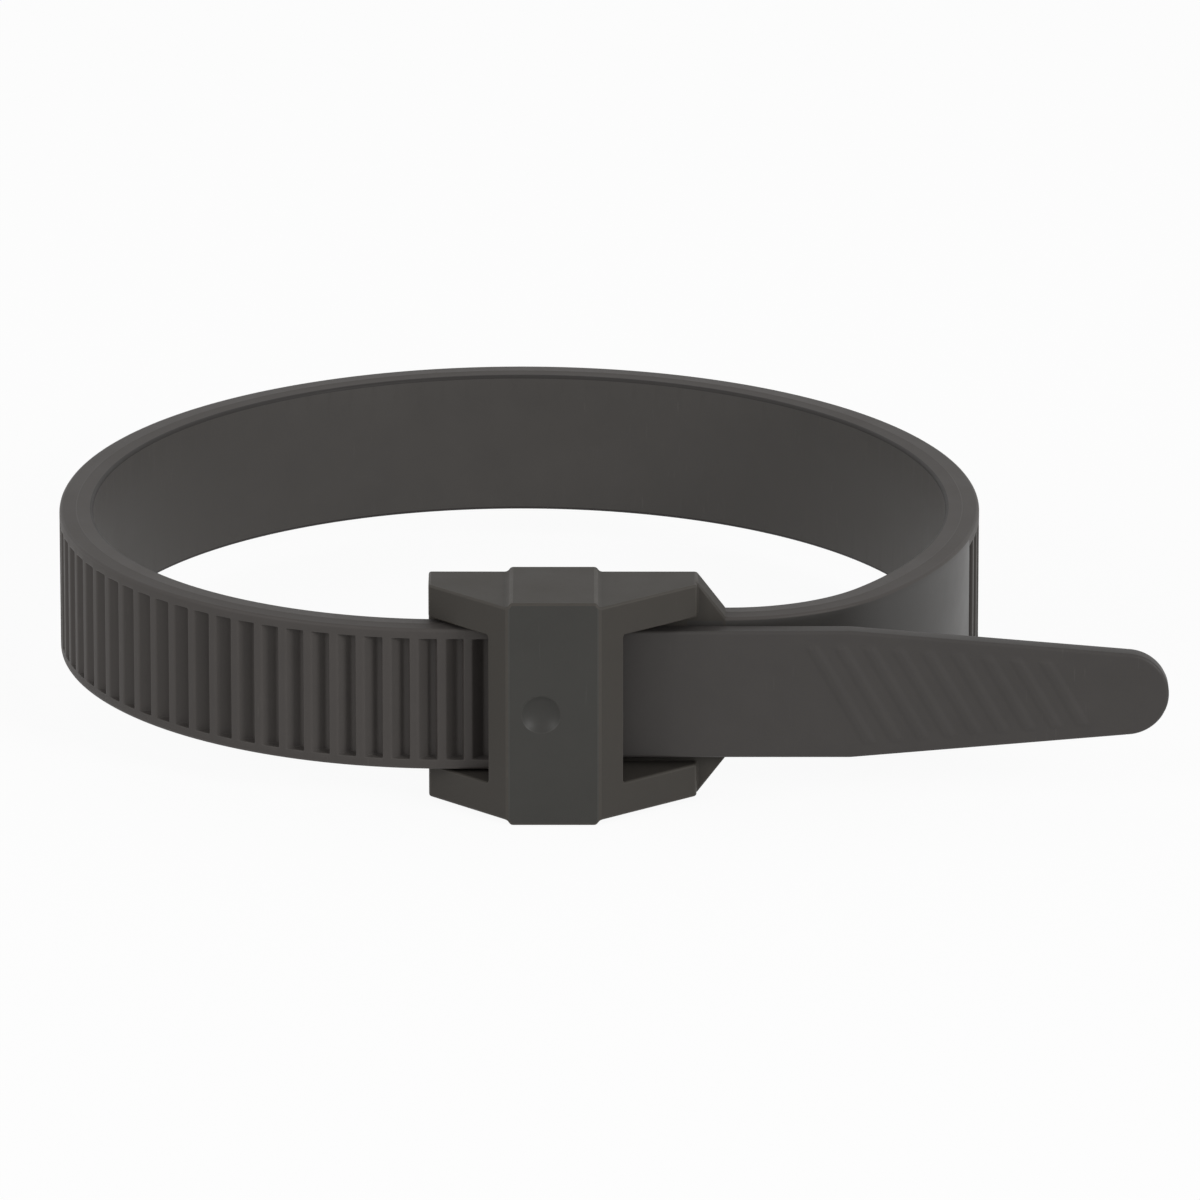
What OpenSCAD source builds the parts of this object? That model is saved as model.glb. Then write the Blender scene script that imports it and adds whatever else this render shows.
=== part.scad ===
// In-line cable tie, closed on the first teeth of its strap.
// The frame's origin is the centre of the loop's free arc, halfway up the strap.
// +Z runs along the bundle, the head is on the -Y side, and the tail points along +X.

/* [Strap] */
// Width of the toothed strap
strap_w = 9; // [8:0.1:11]
// Thickness of the strap, measured over its rails
strap_t = 2.1; // [1.7:0.05:2.3]
// Radius of the strap's long edges
edge_r = 0.2; // [0.15:0.05:0.4]

/* [Loop] */
// Centre-line radius of the loop's free arc
loop_r = 27.55; // [26:0.05:36]
// Distance by which the head flattens the loop, from the free arc's circle in to the
// centre line of the straight strap beside the head's fixed end
flat_in = 6.18; // [5.5:0.01:6.8]
// Straight strap on the entry side of the loop's centre
entry_run = 4.2; // [3:0.1:5]

/* [Teeth] */
// Distance from one tooth to the next along the centre line
tooth_pitch = 1.6; // [1.5:0.05:2]
// Depth of the gullet in front of each tooth
tooth_depth = 0.65; // [0.4:0.05:0.7]
// Width of the flat floor of a gullet
gullet_floor = 0.4; // [0.3:0.05:0.5]
// Length of the ramp from a gullet's floor up to the tooth before it
tooth_ramp = 0.7; // [0.5:0.05:0.8]
// Width of the plain rail along each edge of the toothed face
rail_w = 0.65; // [0.5:0.05:1]
// Plain strap between the head's fixed end and the nearest tooth
plain_run = 21.5; // [20:0.5:60]

/* [Head] */
// Height of the head's side walls, along the bundle
head_h = 13.6; // [12.5:0.1:16]
// Depth of the head from its seat to the front of its bridge
head_d = 7.25; // [7:0.05:8]
// Distance from the loop's centre to the bridge's centre, towards the tail
bridge_x = 2.2; // [1.5:0.05:3]
// Length of the flat on the bridge's front
bridge_flat = 5.6; // [5.5:0.05:6.5]
// Floor of the head on the entry side of the bridge's centre
floor_entry = 7.6; // [7:0.1:9]
// Floor of the head on the tail side of the bridge's centre
floor_exit = 8.7; // [8:0.1:10]
// Length over which the floor narrows to the strap's width
shoulder_l = 1.9; // [1.5:0.1:4]
// Thickness of the bridge over the channel
roof_t = 1.15; // [0.8:0.05:1.3]
// Distance by which the ends of the side walls stand out beyond the floor
wall_out = 0.6; // [0.2:0.05:0.9]
// Height by which the bridge's end pads stand above the side walls
pad_h = 0.3; // [0.2:0.05:0.5]
// Slope of the end pads' short sides, as a run along the strap
pad_run = 0.2; // [0.2:0.01:0.5]
// Lead-in chamfer where the strap enters the channel
lead_in = 0.4; // [0.2:0.05:0.8]
// Depth of the round dimple on the bridge's front
dimple_d = 0.45; // [0.2:0.05:0.6]
// Radius of the dimple at the bridge's face
dimple_r = 1.2; // [0.8:0.05:1.4]
// Distance of the dimple from the bridge's centre, towards the entry
dimple_x = 0.75; // [0:0.05:1.2]

/* [Pawl] */
// Distance from the bridge's centre to the steep face of the last tooth that the pawl holds
last_tooth = 0.95; // [0.5:0.05:1]
// Number of teeth on the pawl
pawl_teeth = 3; // [2:1:3]
// Width of the pawl
pawl_w = 7.2; // [6:0.1:7.3]
// Thickness of the pawl behind its teeth
pawl_t = 0.95; // [0.8:0.05:1.1]
// Length of the pawl's root along the roof
root_l = 1.1; // [0.8:0.05:1.4]
// Distance by which the root lies outside the flat on the bridge's front
root_out = 0.35; // [0.1:0.05:0.4]
// Height of the root's outer face below the roof
root_h = 0.2; // [0.1:0.05:0.4]
// Distance from the first tooth to the point where the pawl's back turns up to the root
back_l = 0.3; // [0.1:0.05:0.5]

/* [Tail] */
// Width of the plain tail
tail_w = 8.1; // [7.5:0.1:8.9]
// Thickness of the plain tail
tail_t = 1.2; // [1:0.05:1.4]
// Distance from the bridge's centre to the tail's tip
tail_reach = 37.4; // [34:0.2:60]
// Distance from the bridge's centre to the start of the tail's taper
taper_start = 18.1; // [15:0.1:20]
// Radius of the tail's round tip
tip_r = 2.6; // [1.8:0.05:3]
// Distance from the last tooth to the start of the step down to the tail
step_gap = 0.5; // [0.4:0.05:0.8]
// Length of the step down from the strap to the thinner tail
step_run = 1.4; // [1:0.1:2]

/* [Grip] */
// Number of grip ribs on each face of the tail
rib_count = 9; // [3:1:10]
// Distance from one grip rib to the next along the tail
rib_pitch = 1.7; // [1.4:0.1:1.9]
// Width of a grip rib
rib_w = 0.7; // [0.5:0.05:0.9]
// Height of a grip rib over the tail's face
rib_h = 0.12; // [0.08:0.01:0.2]
// Lean of the grip ribs away from square across the tail
rib_lean = 30; // [20:1:40]
// Distance from the bridge's centre to the first grip rib
rib_start = 17.5; // [16:0.5:20]
// Plain border between the grip ribs and the tail's edges
rib_border = 0.9; // [0.6:0.1:1.2]

/* [Fit] */
// Clearance between the strap and the head's floor
floor_gap = 0.15; // [0.1:0.01:0.25]
// Clearance between each edge of the strap and the head's side wall
side_gap = 0.2; // [0.12:0.01:0.3]
// Clearance between the pawl's teeth and the strap's teeth
mesh_gap = 0.1; // [0.08:0.01:0.15]

/* [Hidden] */
plastic = [0.16, 0.155, 0.145];
$fn = 96;

// Facets of a long edge's rounding, and of the strap's bends
edge_fn = 32;
bend_fn = 180;

// Small overlap that joins two solids
join = 0.02;
// Overshoot of a cut beyond the surface that it opens
over = 0.3;
// Where two lengths of strap meet, one runs on into the other by lap, and the other
// is thicker and wider than it by swell
lap = 0.05;
swell = 0.01;

// Head's ends along X
head_x0 = bridge_x - floor_entry;
head_x1 = bridge_x + floor_exit;
shoulder_x = head_x1 + shoulder_l;

// Fixed side of the loop: straight to the shoulder, then a bend that meets the free arc
fixed_y = loop_r - flat_in;
bend_r = (pow(loop_r, 2) - pow(shoulder_x, 2) - pow(fixed_y, 2)) / (2 * flat_in);
fixed_turn = atan2(shoulder_x, fixed_y - bend_r);

// Entry side: the strap lies on the head's floor, one thickness further out
free_y = fixed_y + strap_t + floor_gap;
sweep_r = (pow(loop_r, 2) - pow(free_y, 2) - pow(entry_run, 2)) / (2 * (loop_r - free_y));
free_turn = atan2(entry_run, free_y - sweep_r);
sweep_turn = free_turn + angle_of(lap, sweep_r);
arc_turn = 360 - fixed_turn - free_turn;

// Depths in the head, counted outwards from its seat
seat_y = -(fixed_y - strap_t / 2);
floor_d = strap_t;
strap_in_d = floor_d + floor_gap;
strap_out_d = strap_in_d + strap_t;
roof_d = head_d - roof_t;

// Heights, counted from the middle of the strap
channel_h = strap_w + 2 * side_gap;
wall_top = head_h / 2;

// Toothed run, counted along the centre line from the last tooth back round the loop
last_tooth_x = bridge_x + last_tooth;
run_straight = last_tooth_x + entry_run;
run_sweep = sweep_r * free_turn * PI / 180;
run_arc = loop_r * arc_turn * PI / 180;
run_bend = bend_r * fixed_turn * PI / 180;
tooth_count = floor((run_straight + run_sweep + run_arc + run_bend - plain_run) / tooth_pitch);

// Tail: half widths and the taper that meets the round tip
step_x0 = last_tooth_x + step_gap;
step_x1 = step_x0 + step_run;
tail_in_y = seat_y - strap_in_d;
taper_x = bridge_x + taper_start;
tip_x = bridge_x + tail_reach - tip_r;
taper_l = tip_x - taper_x;
taper_a = acos(tip_r / norm([taper_l, tail_w / 2])) - atan2(taper_l, tail_w / 2);

// Angle that a length takes up on a circle
function angle_of(l, r) = l / r * 180 / PI;

// Rectangle with round corners: t across X and w along Y
module round_section(t, w) {
    union() {
        square([t, w - 2 * edge_r], center = true);
        square([t - 2 * edge_r, w], center = true);
        for (sx = [-1, 1], sy = [-1, 1])
            translate([sx * (t / 2 - edge_r), sy * (w / 2 - edge_r)])
                circle(r = edge_r, $fn = edge_fn);
    }
}

// Straight bar along X whose inner face lies at y, between x0 and x1
module bar(x0, x1, y, t, w) {
    translate([x0, y - t / 2, 0])
        rotate([90, 0, 90])
            linear_extrude(height = x1 - x0)
                round_section(t, w);
}

// Strap bent about the Z axis, from angle a0 and on by turn, thicker and wider by extra
module bent_strap(r, a0, turn, extra) {
    rotate([0, 0, a0])
        rotate_extrude(angle = turn, $fn = bend_fn)
            translate([r, 0])
                round_section(strap_t + extra, strap_w + extra);
}

// Places a child, made for the straight beside the head, at a run back along the strap
module along_strap(run) {
    if (run <= run_straight)
        translate([last_tooth_x - run, -free_y, 0])
            children();
    else if (run <= run_straight + run_sweep)
        translate([-entry_run, sweep_r - free_y, 0])
            rotate([0, 0, -angle_of(run - run_straight, sweep_r)])
                translate([0, -sweep_r, 0])
                    children();
    else
        rotate([0, 0, -free_turn - angle_of(run - run_straight - run_sweep, loop_r)])
            translate([0, -loop_r, 0])
                children();
}

// Space in front of one tooth: a steep face at x = 0, a flat floor and a ramp
module gullet() {
    top = -strap_t / 2;
    slope = tooth_ramp / tooth_depth;
    linear_extrude(height = strap_w - 2 * rail_w, center = true)
        polygon([
            [0, top - over],
            [0, top + tooth_depth],
            [-gullet_floor, top + tooth_depth],
            [-gullet_floor - slope * (tooth_depth + over), top - over]
        ]);
}

// Strap from the head's shoulder, through the bend and round the free arc
module fixed_side() {
    union() {
        bar(head_x1 - join, shoulder_x + lap, seat_y, strap_t, strap_w);
        translate([shoulder_x, bend_r - fixed_y, 0])
            bent_strap(bend_r, -90, fixed_turn + angle_of(lap, bend_r), swell);
        bent_strap(loop_r, fixed_turn - 90, arc_turn, 2 * swell);
    }
}

// Strap from the free arc, through the sweep and into the head
module entry_side() {
    union() {
        translate([-entry_run, sweep_r - free_y, 0])
            bent_strap(sweep_r, -90 - sweep_turn, sweep_turn, swell);
        bar(-entry_run - lap, step_x0, tail_in_y, strap_t, strap_w);
    }
}

// Loop from the head's fixed end round to the last tooth
module loop_strap() {
    difference() {
        union() {
            fixed_side();
            entry_side();
        }
        for (i = [0 : tooth_count - 1])
            along_strap(i * tooth_pitch)
                gullet();
    }
}

// Step from the toothed strap down to the thinner, narrower tail
module tail_step() {
    intersection() {
        linear_extrude(height = strap_w + 2 * over, center = true)
            polygon([
                [step_x0 - join, tail_in_y - strap_t],
                [step_x0, tail_in_y - strap_t],
                [step_x1, tail_in_y - tail_t],
                [step_x1 + join, tail_in_y - tail_t],
                [step_x1 + join, tail_in_y],
                [step_x0 - join, tail_in_y]
            ]);
        translate([0, tail_in_y + over, 0])
            rotate([90, 0, 0])
                linear_extrude(height = strap_t + 2 * over)
                    polygon([
                        [step_x0 - join, edge_r - strap_w / 2],
                        [step_x1 + join, edge_r - tail_w / 2],
                        [step_x1 + join, tail_w / 2 - edge_r],
                        [step_x0 - join, strap_w / 2 - edge_r]
                    ]);
    }
}

// Long bar turned by the taper about the tail's corner, so that its upper edge is the taper's
module leaning_bar() {
    translate([taper_x, tail_in_y - tail_t / 2, tail_w / 2])
        rotate([0, taper_a, 0])
            translate([-taper_l, 0, -tail_w / 2])
                rotate([90, 0, 90])
                    linear_extrude(height = 3 * taper_l)
                        round_section(tail_t + swell, tail_w + swell);
}

// Outline of the tail's face, inset by a border
module tail_outline(inset) {
    polygon([
        [step_x1, inset - tail_w / 2],
        [taper_x, inset - tail_w / 2],
        [tip_x, inset - tip_r / cos(taper_a)],
        [tip_x, tip_r / cos(taper_a) - inset],
        [taper_x, tail_w / 2 - inset],
        [step_x1, tail_w / 2 - inset]
    ]);
}

// Diagonal ribs that give the fingers a grip, on both faces of the tail
module grip_ribs() {
    rib_l = 2 * tail_w;
    translate([0, tail_in_y + rib_h, 0])
        rotate([90, 0, 0])
            linear_extrude(height = tail_t + 2 * rib_h)
                intersection() {
                    tail_outline(rib_border);
                    for (i = [0 : rib_count - 1])
                        translate([bridge_x + rib_start + i * rib_pitch, 0])
                            rotate([0, 0, rib_lean])
                                square([rib_w, rib_l], center = true);
                }
}

// Thin pointed tail
module tail() {
    union() {
        bar(step_x1, taper_x + lap, tail_in_y, tail_t, tail_w);
        intersection() {
            leaning_bar();
            mirror([0, 0, 1])
                leaning_bar();
            translate([taper_x, tail_in_y - tail_t - over, -tail_w])
                cube([taper_l, tail_t + 2 * over, 2 * tail_w]);
        }
        translate([tip_x, tail_in_y - tail_t / 2, 0])
            rotate([90, 0, 0])
                rotate_extrude()
                    intersection() {
                        rotate([0, 0, 90])
                            round_section(tail_t, 2 * tip_r);
                        translate([0, -tail_t])
                            square([2 * tip_r, 2 * tail_t]);
                    }
        grip_ribs();
    }
}

// Plan of the head: flat seat, two slopes and the flat front of the bridge
module head_plan() {
    polygon([
        [head_x0, 0],
        [head_x0, -floor_d - wall_out],
        [bridge_x - bridge_flat / 2, -head_d],
        [bridge_x + bridge_flat / 2, -head_d],
        [head_x1, -floor_d - wall_out],
        [head_x1, 0]
    ]);
}

// Plan of the channel that the strap runs through, with its lead-in
module channel_plan() {
    reach = 1;
    polygon([
        [head_x0 - reach, -roof_d],
        [head_x1 + reach, -roof_d],
        [head_x1 + reach, -floor_d],
        [head_x0 + lead_in, -floor_d],
        [head_x0 - reach, -(floor_d - lead_in - reach)]
    ]);
}

// Pad on one end of the bridge, seen from the front
module bridge_pad() {
    half = bridge_flat / 2;
    rotate([90, 0, 0])
        linear_extrude(height = head_d)
            polygon([
                [bridge_x - half, wall_top - join],
                [bridge_x + half, wall_top - join],
                [bridge_x + half, wall_top],
                [bridge_x + half - pad_run, wall_top + pad_h],
                [bridge_x - half + pad_run, wall_top + pad_h],
                [bridge_x - half, wall_top]
            ]);
}

// Plate that narrows from the head's height to the strap's width
module shoulder() {
    rotate([90, 0, 0])
        linear_extrude(height = floor_d)
            polygon([
                [head_x1 - join, -wall_top],
                [head_x1, -wall_top],
                [shoulder_x, edge_r - strap_w / 2],
                [shoulder_x, strap_w / 2 - edge_r],
                [head_x1, wall_top],
                [head_x1 - join, wall_top]
            ]);
}

// Springy pawl: hangs from the roof at the entry side and points to the tail
module pawl() {
    teeth_d = strap_out_d + mesh_gap;
    slope = tooth_ramp / tooth_depth;
    root_x = bridge_x - bridge_flat / 2 - root_out;
    first_x = last_tooth_x - (pawl_teeth - 1) * tooth_pitch;
    tip_end = last_tooth_x - mesh_gap;
    linear_extrude(height = pawl_w, center = true)
        union() {
            polygon([
                [root_x, -roof_d - join],
                [root_x + root_l, -roof_d - join],
                [first_x - back_l, -teeth_d - pawl_t],
                [tip_end, -teeth_d - pawl_t],
                [tip_end, -teeth_d],
                [first_x - tooth_pitch, -teeth_d],
                [root_x, root_h - roof_d]
            ]);
            for (i = [0 : pawl_teeth - 1])
                translate([last_tooth_x - i * tooth_pitch - mesh_gap, -teeth_d])
                    polygon([
                        [0, -join],
                        [0, tooth_depth],
                        [-gullet_floor + 2 * mesh_gap, tooth_depth],
                        [-gullet_floor + 2 * mesh_gap - slope * (tooth_depth + join), -join]
                    ]);
        }
}

// Shallow round dimple on the bridge's front
module dimple() {
    ball_r = (pow(dimple_r, 2) + pow(dimple_d, 2)) / (2 * dimple_d);
    translate([bridge_x - dimple_x, -head_d - ball_r + dimple_d, 0])
        sphere(r = ball_r);
}

// Head: side walls, floor, bridge and pawl
module head() {
    translate([0, seat_y, 0]) {
        difference() {
            union() {
                linear_extrude(height = head_h, center = true)
                    head_plan();
                bridge_pad();
                mirror([0, 0, 1])
                    bridge_pad();
            }
            linear_extrude(height = channel_h, center = true)
                channel_plan();
            dimple();
        }
        shoulder();
        pawl();
    }
}

module cable_tie() {
    color(plastic)
        union() {
            loop_strap();
            tail_step();
            tail();
            head();
        }
}

cable_tie();
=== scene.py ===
"""One-piece cable tie, closed on the first teeth of its strap, in a plain pale studio.

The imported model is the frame. Sizes are in millimetres, as in the source, and every mesh is written
in metres about the same origin: the centre of the loop's free arc, halfway up the strap. The visual
grip ribs are lower and softer than the source's, as the photograph shows them.
"""

import logging
import math
from collections.abc import Sequence
from dataclasses import dataclass, field
from enum import Enum, IntEnum

import bmesh
import bpy
import numpy as np
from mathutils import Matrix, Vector


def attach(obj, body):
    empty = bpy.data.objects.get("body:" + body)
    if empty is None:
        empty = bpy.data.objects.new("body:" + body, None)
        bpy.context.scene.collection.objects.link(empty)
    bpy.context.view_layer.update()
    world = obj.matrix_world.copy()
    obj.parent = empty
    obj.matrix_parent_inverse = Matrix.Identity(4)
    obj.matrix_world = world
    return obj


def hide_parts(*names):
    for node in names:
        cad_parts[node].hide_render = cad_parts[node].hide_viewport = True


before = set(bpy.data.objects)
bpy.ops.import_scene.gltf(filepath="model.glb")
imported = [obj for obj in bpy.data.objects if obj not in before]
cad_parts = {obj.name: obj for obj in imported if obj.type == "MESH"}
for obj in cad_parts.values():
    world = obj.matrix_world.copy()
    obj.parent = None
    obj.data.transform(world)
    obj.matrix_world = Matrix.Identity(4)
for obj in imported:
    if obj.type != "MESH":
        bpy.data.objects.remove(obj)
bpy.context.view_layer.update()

MM = 0.001
NODE = "cable_tie"
BODY = "root"
WEAR = "stand_out"

log = logging.getLogger("cable_tie")


class Region(IntEnum):
    """Regions of the moulding that differ in finish and in painted light. The value is the material's
    index.
    """

    # Painted light: the band's nylon, lighter than the head's to make up for the shade between the
    # teeth.
    TOOTHED_BAND_PAINTED_LIGHT = 0
    PLAIN_BAND = 1
    HEAD = 2
    TAIL = 3
    # Painted light: the inner face, lighter to make up for the shade that the loop casts on itself.
    INNER_BAND_PAINTED_LIGHT = 4
    # Painted shade: a dark line along the strap's inner roundings.
    INNER_EDGE_PAINTED_SHADE = 5
    # Painted shade: the bridge's flat front, darker and cooler than the head's warm sides.
    BRIDGE_FRONT_PAINTED_SHADE = 6
    DIMPLE = 7


class Cut(Enum):
    """How a second solid acts on a first."""

    JOIN = "UNION"
    REMOVE = "DIFFERENCE"


def smooth_step(low: float, high: float, x: np.ndarray) -> np.ndarray:
    """Smooth rise from 0 to 1.

    Args:
        low: Where the rise starts.
        high: Where it ends.
        x: The places asked for.

    Returns:
        A value from 0 to 1 for each place.
    """
    t = np.clip((x - low) / (high - low), 0.0, 1.0)
    return t * t * (3.0 - 2.0 * t)


# meshes


class Solid:
    """A closed mesh in the shared frame, and the steps that shape it."""

    def __init__(
        self, name: str, points: np.ndarray, faces: Sequence[Sequence[int]], region: Region
    ) -> None:
        """Makes the mesh and its object.

        Args:
            name: Name of the object.
            points: One row of X, Y, Z in millimetres for each corner.
            faces: Corner numbers of each face.
            region: The finish of every face, until regions are painted.
        """
        mesh = bpy.data.meshes.new(name)
        mesh.from_pydata((np.asarray(points) * MM).tolist(), [], [list(f) for f in faces])
        mesh.update()
        self.obj = bpy.data.objects.new(name, mesh)
        bpy.context.scene.collection.objects.link(self.obj)
        for place in Region:
            mesh.materials.append(Finishes.material(place))
        mesh.polygons.foreach_set("material_index", [int(region)] * len(mesh.polygons))
        self.clean()

    def clean(self, merge: float = 1e-4) -> None:
        """Merges doubled corners, drops collapsed faces and turns every face outwards.

        Args:
            merge: Distance in millimetres under which two corners are one.
        """
        work = bmesh.new()
        work.from_mesh(self.obj.data)
        bmesh.ops.remove_doubles(work, verts=work.verts, dist=merge * MM)
        bmesh.ops.dissolve_degenerate(work, edges=work.edges, dist=merge * MM)
        bmesh.ops.recalc_face_normals(work, faces=work.faces)
        work.to_mesh(self.obj.data)
        work.free()

    def apply_modifiers(self) -> None:
        """Replaces the mesh by its result under the object's modifiers, and drops them."""
        graph = bpy.context.evaluated_depsgraph_get()
        made = bpy.data.meshes.new_from_object(self.obj.evaluated_get(graph))
        old = self.obj.data
        self.obj.modifiers.clear()
        self.obj.data = made
        bpy.data.meshes.remove(old)

    def combine(self, other: "Solid", how: Cut) -> None:
        """Joins another solid to this one, or removes it from this one, and uses the other up.

        Args:
            other: The second solid.
            how: Whether it is joined or removed.
        """
        step = self.obj.modifiers.new("combine", "BOOLEAN")
        step.solver = "MANIFOLD"
        step.operation = how.value
        step.object = other.obj
        self.apply_modifiers()
        mesh = other.obj.data
        bpy.data.objects.remove(other.obj)
        bpy.data.meshes.remove(mesh)

    def merge_flat_faces(self, angle: float = 0.4) -> None:
        """Merges the faces that lie in one plane, so that a bevel follows the real edges only.

        Args:
            angle: Largest angle in degrees between two faces of one plane.
        """
        work = bmesh.new()
        work.from_mesh(self.obj.data)
        bmesh.ops.remove_doubles(work, verts=work.verts, dist=1e-3 * MM)
        bmesh.ops.dissolve_limit(
            work,
            angle_limit=math.radians(angle),
            verts=work.verts,
            edges=work.edges,
            delimit={"MATERIAL"},
        )
        work.to_mesh(self.obj.data)
        work.free()

    def soften_edges(self, radius: float, segments: int, angle: float) -> None:
        """Rounds the edges as a mould's cutter leaves them.

        Args:
            radius: Radius of the rounding in millimetres.
            segments: Number of facets across it.
            angle: Edges with less than this angle in degrees stay as they are.
        """
        step = self.obj.modifiers.new("soften", "BEVEL")
        step.width = radius * MM
        step.segments = segments
        step.limit_method = "ANGLE"
        step.angle_limit = math.radians(angle)
        step.miter_outer = "MITER_ARC"
        step.use_clamp_overlap = True
        step.harden_normals = False
        self.apply_modifiers()

    def shade(self, crease: float) -> None:
        """Shades flat faces flat and roundings round.

        Args:
            crease: Angle in degrees over which an edge stays sharp.
        """
        mesh = self.obj.data
        mesh.polygons.foreach_set("use_smooth", [True] * len(mesh.polygons))
        mesh.set_sharp_from_angle(angle=math.radians(crease))
        step = self.obj.modifiers.new("flat_faces", "WEIGHTED_NORMAL")
        step.keep_sharp = True
        step.weight = 50
        self.apply_modifiers()

    def paint(self, region: Region, axis: int, level: float, reach: float = 0.01) -> None:
        """Gives the flat faces at one level another finish.

        Args:
            region: Their finish.
            axis: Number of the axis that the level is measured along.
            level: Where the faces lie, in millimetres.
            reach: How far from it a face's middle may be, in millimetres.
        """
        for face in self.obj.data.polygons:
            if abs(face.center[axis] / MM - level) < reach:
                face.material_index = int(region)

    def mark_wear(self, narrow: float = 0.13, bend: float = 0.1, full: float = 0.5) -> None:
        """Stores how far roundings stand out: 1 on an edge, -1 in a corner and 0 on flats.

        Args:
            narrow: Width in millimetres under which a face is part of a rounding.
            bend: Angle in radians over which a side of a face belongs to a rounding.
            full: Angle in radians between two facets that counts as 1.
        """
        work = bmesh.new()
        work.from_mesh(self.obj.data)
        layer = work.loops.layers.float.new(WEAR)
        turn = {edge: edge.calc_face_angle_signed(0.0) for edge in work.edges}
        for face in work.faces:
            sides = [edge for edge in face.edges if abs(turn[edge]) > bend]
            if not any(face.calc_area() < side.calc_length() * narrow * MM for side in sides):
                continue
            for loop in face.loops:
                angles = [turn[edge] for edge in loop.vert.link_edges]
                loop[layer] = max(-1.0, min(1.0, (max(angles) + min(angles)) / full))
        work.to_mesh(self.obj.data)
        work.free()

    def facts(self) -> str:
        """Counts what the log reports.

        Returns:
            Number of triangles and of open edges, in words.
        """
        work = bmesh.new()
        work.from_mesh(self.obj.data)
        triangles = sum(len(f.verts) - 2 for f in work.faces)
        opened = sum(1 for e in work.edges if len(e.link_faces) != 2)
        work.free()
        return f"{triangles} triangles, {opened} open edges"


def ring_faces(stations: int, around: int) -> list[list[int]]:
    """Faces of a tube of closed sections, with a cap on each end.

    Args:
        stations: Number of sections.
        around: Number of corners of each section.

    Returns:
        Corner numbers of each face.
    """
    faces = []
    for i in range(stations - 1):
        low, high = i * around, (i + 1) * around
        for j in range(around):
            k = (j + 1) % around
            faces.append([low + j, low + k, high + k, high + j])
    faces.append(list(range(around)))
    faces.append([(stations - 1) * around + j for j in reversed(range(around))])
    return faces


def plate(
    name: str, outline: Sequence[Sequence[float]], low: float, high: float, across: str
) -> Solid:
    """A flat outline given thickness.

    Args:
        name: Name of the object.
        outline: Corners in millimetres: X and Y where across is z, and X and Z where it is y.
        low: Where the thickness starts, along the axis named by across.
        high: Where it ends.
        across: The axis of the thickness, y or z.

    Returns:
        The closed solid.
    """
    count = len(outline)
    rows = []
    for level in (low, high):
        for a, b in outline:
            rows.append((a, b, level) if across == "z" else (a, level, b))
    faces = [list(range(count)), list(range(count, 2 * count))]
    for i in range(count):
        j = (i + 1) % count
        faces.append([i, j, count + j, count + i])
    return Solid(name, np.array(rows), faces, Region.HEAD)


# strap


@dataclass(frozen=True)
class Route:
    """Centre line of the strap, from inside the head's fixed end round to the last tooth."""

    loop_r: float = 27.55
    flat_in: float = 6.18
    entry_run: float = 4.2
    start_x: float = 10.3
    shoulder_x: float = 12.8
    thickness: float = 2.1
    floor_gap: float = 0.15
    last_tooth_x: float = 3.15
    end_x: float = 3.95

    @property
    def fixed_y(self) -> float:
        """Distance of the fixed end's straight strap from the loop's centre."""
        return self.loop_r - self.flat_in

    @property
    def bend_r(self) -> float:
        """Radius of the bend beside the fixed end."""
        return (self.loop_r**2 - self.shoulder_x**2 - self.fixed_y**2) / (2 * self.flat_in)

    @property
    def fixed_turn(self) -> float:
        """Angle through which the bend turns."""
        return math.atan2(self.shoulder_x, self.fixed_y - self.bend_r)

    @property
    def free_y(self) -> float:
        """Distance of the entering strap from the loop's centre."""
        return self.fixed_y + self.thickness + self.floor_gap

    @property
    def sweep_r(self) -> float:
        """Radius of the sweep into the head's entry."""
        gap = self.loop_r - self.free_y
        return (self.loop_r**2 - self.free_y**2 - self.entry_run**2) / (2 * gap)

    @property
    def free_turn(self) -> float:
        """Angle through which the sweep turns."""
        return math.atan2(self.entry_run, self.free_y - self.sweep_r)

    def lengths(self) -> list[float]:
        """Measures the centre line piece by piece.

        Returns:
            Lengths of the straight, the bend, the free arc, the sweep and the entry's straight.
        """
        arc_turn = 2 * math.pi - self.fixed_turn - self.free_turn
        return [
            self.shoulder_x - self.start_x,
            self.bend_r * self.fixed_turn,
            self.loop_r * arc_turn,
            self.sweep_r * self.free_turn,
            self.end_x + self.entry_run,
        ]

    def place(self, run: np.ndarray) -> tuple[np.ndarray, np.ndarray]:
        """Points of the centre line and the outward directions there.

        Args:
            run: Distances along the centre line from its start.

        Returns:
            Points and unit vectors, one row of X and Y for each distance.
        """
        ends = np.cumsum([0.0, *self.lengths()])
        full = 2 * math.pi
        centres = [
            (self.shoulder_x, self.bend_r - self.fixed_y),
            (0.0, 0.0),
            (-self.entry_run, self.sweep_r - self.free_y),
        ]
        radii = [self.bend_r, self.loop_r, self.sweep_r]
        starts = [0.0, self.fixed_turn, full - self.free_turn]
        points = np.zeros((len(run), 2))
        turn = np.zeros(len(run))
        first = run <= ends[1]
        fixed = np.full(first.sum(), -self.fixed_y)
        points[first] = np.column_stack([self.start_x + run[first], fixed])
        for k in range(3):
            here = (run > ends[k + 1]) & (run <= ends[k + 2])
            turn[here] = starts[k] + (run[here] - ends[k + 1]) / radii[k]
            out = np.column_stack([np.sin(turn[here]), -np.cos(turn[here])])
            points[here] = np.array(centres[k]) + radii[k] * out
        last = run > ends[4]
        free = np.full(last.sum(), -self.free_y)
        points[last] = np.column_stack([run[last] - ends[4] - self.entry_run, free])
        turn[last] = full
        return points, np.column_stack([np.sin(turn), -np.cos(turn)])


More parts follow.
